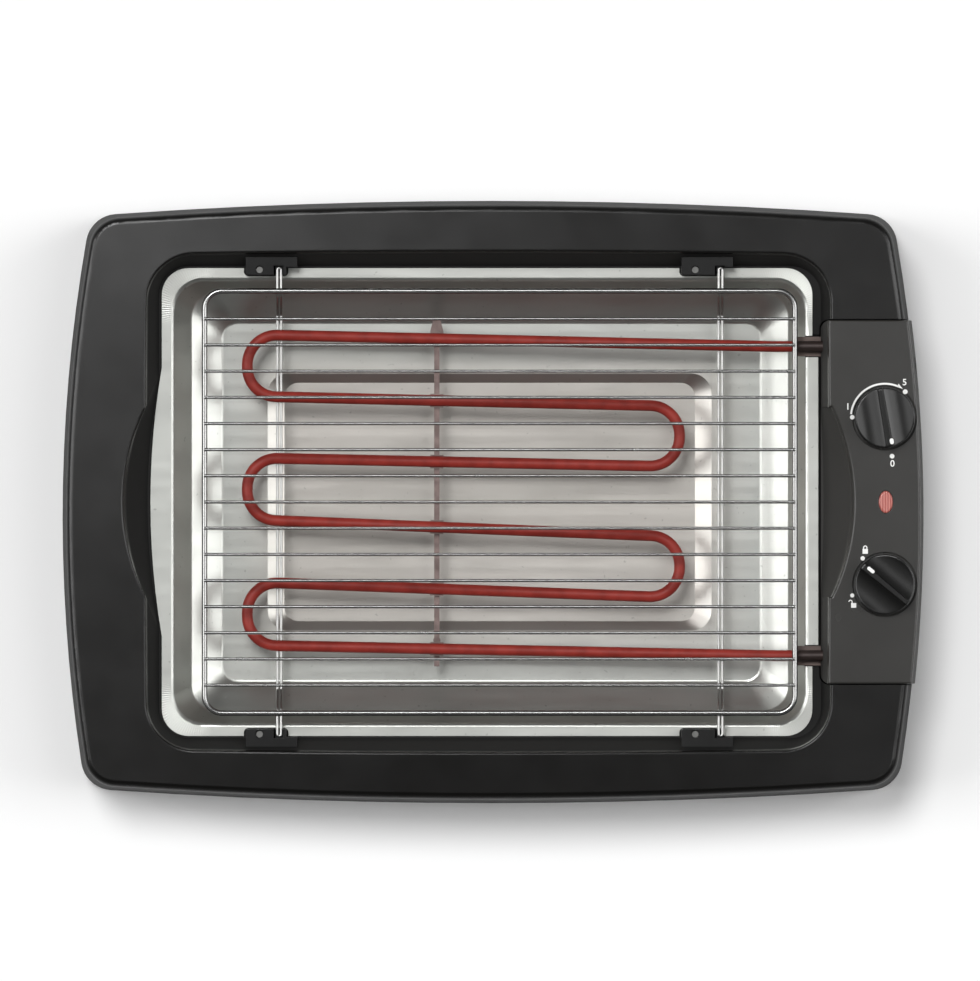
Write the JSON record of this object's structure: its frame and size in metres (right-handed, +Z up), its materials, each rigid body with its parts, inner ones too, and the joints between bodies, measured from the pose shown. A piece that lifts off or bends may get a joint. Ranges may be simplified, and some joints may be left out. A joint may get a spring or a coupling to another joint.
{
  "type": "electric barbecue grill",
  "caption": "Flat tabletop electric grill: moulded base, pressed drip tray, plug-in control unit with serpentine element, doubled support wires in clips, and a plated wire rack.",
  "frame": {"origin": "on the table under the middle of the whole grill", "axes": "+X towards the control unit (right in the picture), +Y to the rear (up in the picture), +Z up"},
  "size_m": [0.5459, 0.382, 0.087],
  "materials": {
    "base_plastic": "fine-textured dark moulding",
    "floor_plastic": "plain dark moulding",
    "foot_rubber": "matt",
    "screw_steel": "zinc plated",
    "clip_plastic": "plain black moulding",
    "tray_steel": "aluminised pressed sheet",
    "wire_chrome": "plated wire",
    "rack_chrome": "plated wire",
    "element_red": "dull red oxide coat",
    "cold_end_brown": "dark brown, unheated end",
    "terminal_steel": "nickel plated",
    "seal_ceramic": "unglazed steatite",
    "plate_brown": "heat-browned sheet",
    "strap_steel": "heat-tinted strip",
    "control_plastic": "fine-textured dark moulding",
    "lens_red": "clear red moulding",
    "lamp_glass": "neon bulb",
    "knob_plastic": "black moulding, white pointer",
    "shaft_steel": "turned",
    "thermostat_phenolic": "brown phenolic moulding",
    "gland_rubber": "matt",
    "lead_insulation": "braided glass-fibre sleeve"
  },
  "bodies": {
    "base": {"base_housing": "base_plastic", "base_floor": "floor_plastic", "foot_front_left": "foot_rubber", "foot_front_right": "foot_rubber", "foot_rear_left": "foot_rubber", "foot_rear_right": "foot_rubber", "floor_screws": "screw_steel", "clip_rear_left": "clip_plastic", "clip_rear_right": "clip_plastic", "clip_front_left": "clip_plastic", "clip_front_right": "clip_plastic", "clip_screws": "screw_steel"},
    "tray": {"drip_tray": "tray_steel"},
    "wire_left": {"support_wire_left": "wire_chrome"},
    "wire_right": {"support_wire_right": "wire_chrome"},
    "control_unit": {"control_housing": "control_plastic", "control_cover": "floor_plastic", "cover_screws": "screw_steel", "indicator_lens": "lens_red", "indicator_lamp": "lamp_glass", "thermostat_body": "thermostat_phenolic", "thermostat_nut": "shaft_steel", "lock_bush": "thermostat_phenolic", "lock_nut": "shaft_steel", "cord_gland": "gland_rubber", "terminal_block": "seal_ceramic", "leads": "lead_insulation", "heating_element": "element_red", "cold_end_sleeves": "cold_end_brown", "element_terminals": "terminal_steel", "element_seals": "seal_ceramic", "end_plates": "plate_brown", "element_strap": "strap_steel"},
    "rack": {"rack_frame": "rack_chrome", "rack_rods": "rack_chrome"},
    "thermostat_control": {"thermostat_knob": "knob_plastic", "thermostat_shaft": "shaft_steel"},
    "lock_control": {"lock_knob": "knob_plastic", "lock_shaft": "shaft_steel", "lock_clip": "shaft_steel"}
  },
  "joints": [
    {"name": "tray_lift", "type": "slide", "parent": "base", "child": "tray", "axis": [0, 0, 1], "range_m": [0, 0.09]},
    {"name": "wire_left_lift", "type": "slide", "parent": "tray", "child": "wire_left", "axis": [0, 0, 1], "range_m": [0, 0.06]},
    {"name": "wire_right_lift", "type": "slide", "parent": "wire_left", "child": "wire_right", "axis": [0, 0, 1], "range_m": [0, 0.06]},
    {"name": "unit_lift", "type": "slide", "parent": "wire_right", "child": "control_unit", "axis": [0, 0, 1], "range_m": [0, 0.08]},
    {"name": "rack_lift", "type": "slide", "parent": "control_unit", "child": "rack", "axis": [0, 0, 1], "range_m": [0, 0.06]},
    {"name": "thermostat_turn", "type": "hinge", "parent": "control_unit", "child": "thermostat_control", "pos_m": [0.24769, 0.0533, 0.07], "axis": [0, 0, 1], "range_deg": [-230, 0]},
    {"name": "lock_turn", "type": "hinge", "parent": "control_unit", "child": "lock_control", "pos_m": [0.24769, -0.052, 0.07], "axis": [0, 0, 1], "range_deg": [0, 69]}
  ]
}
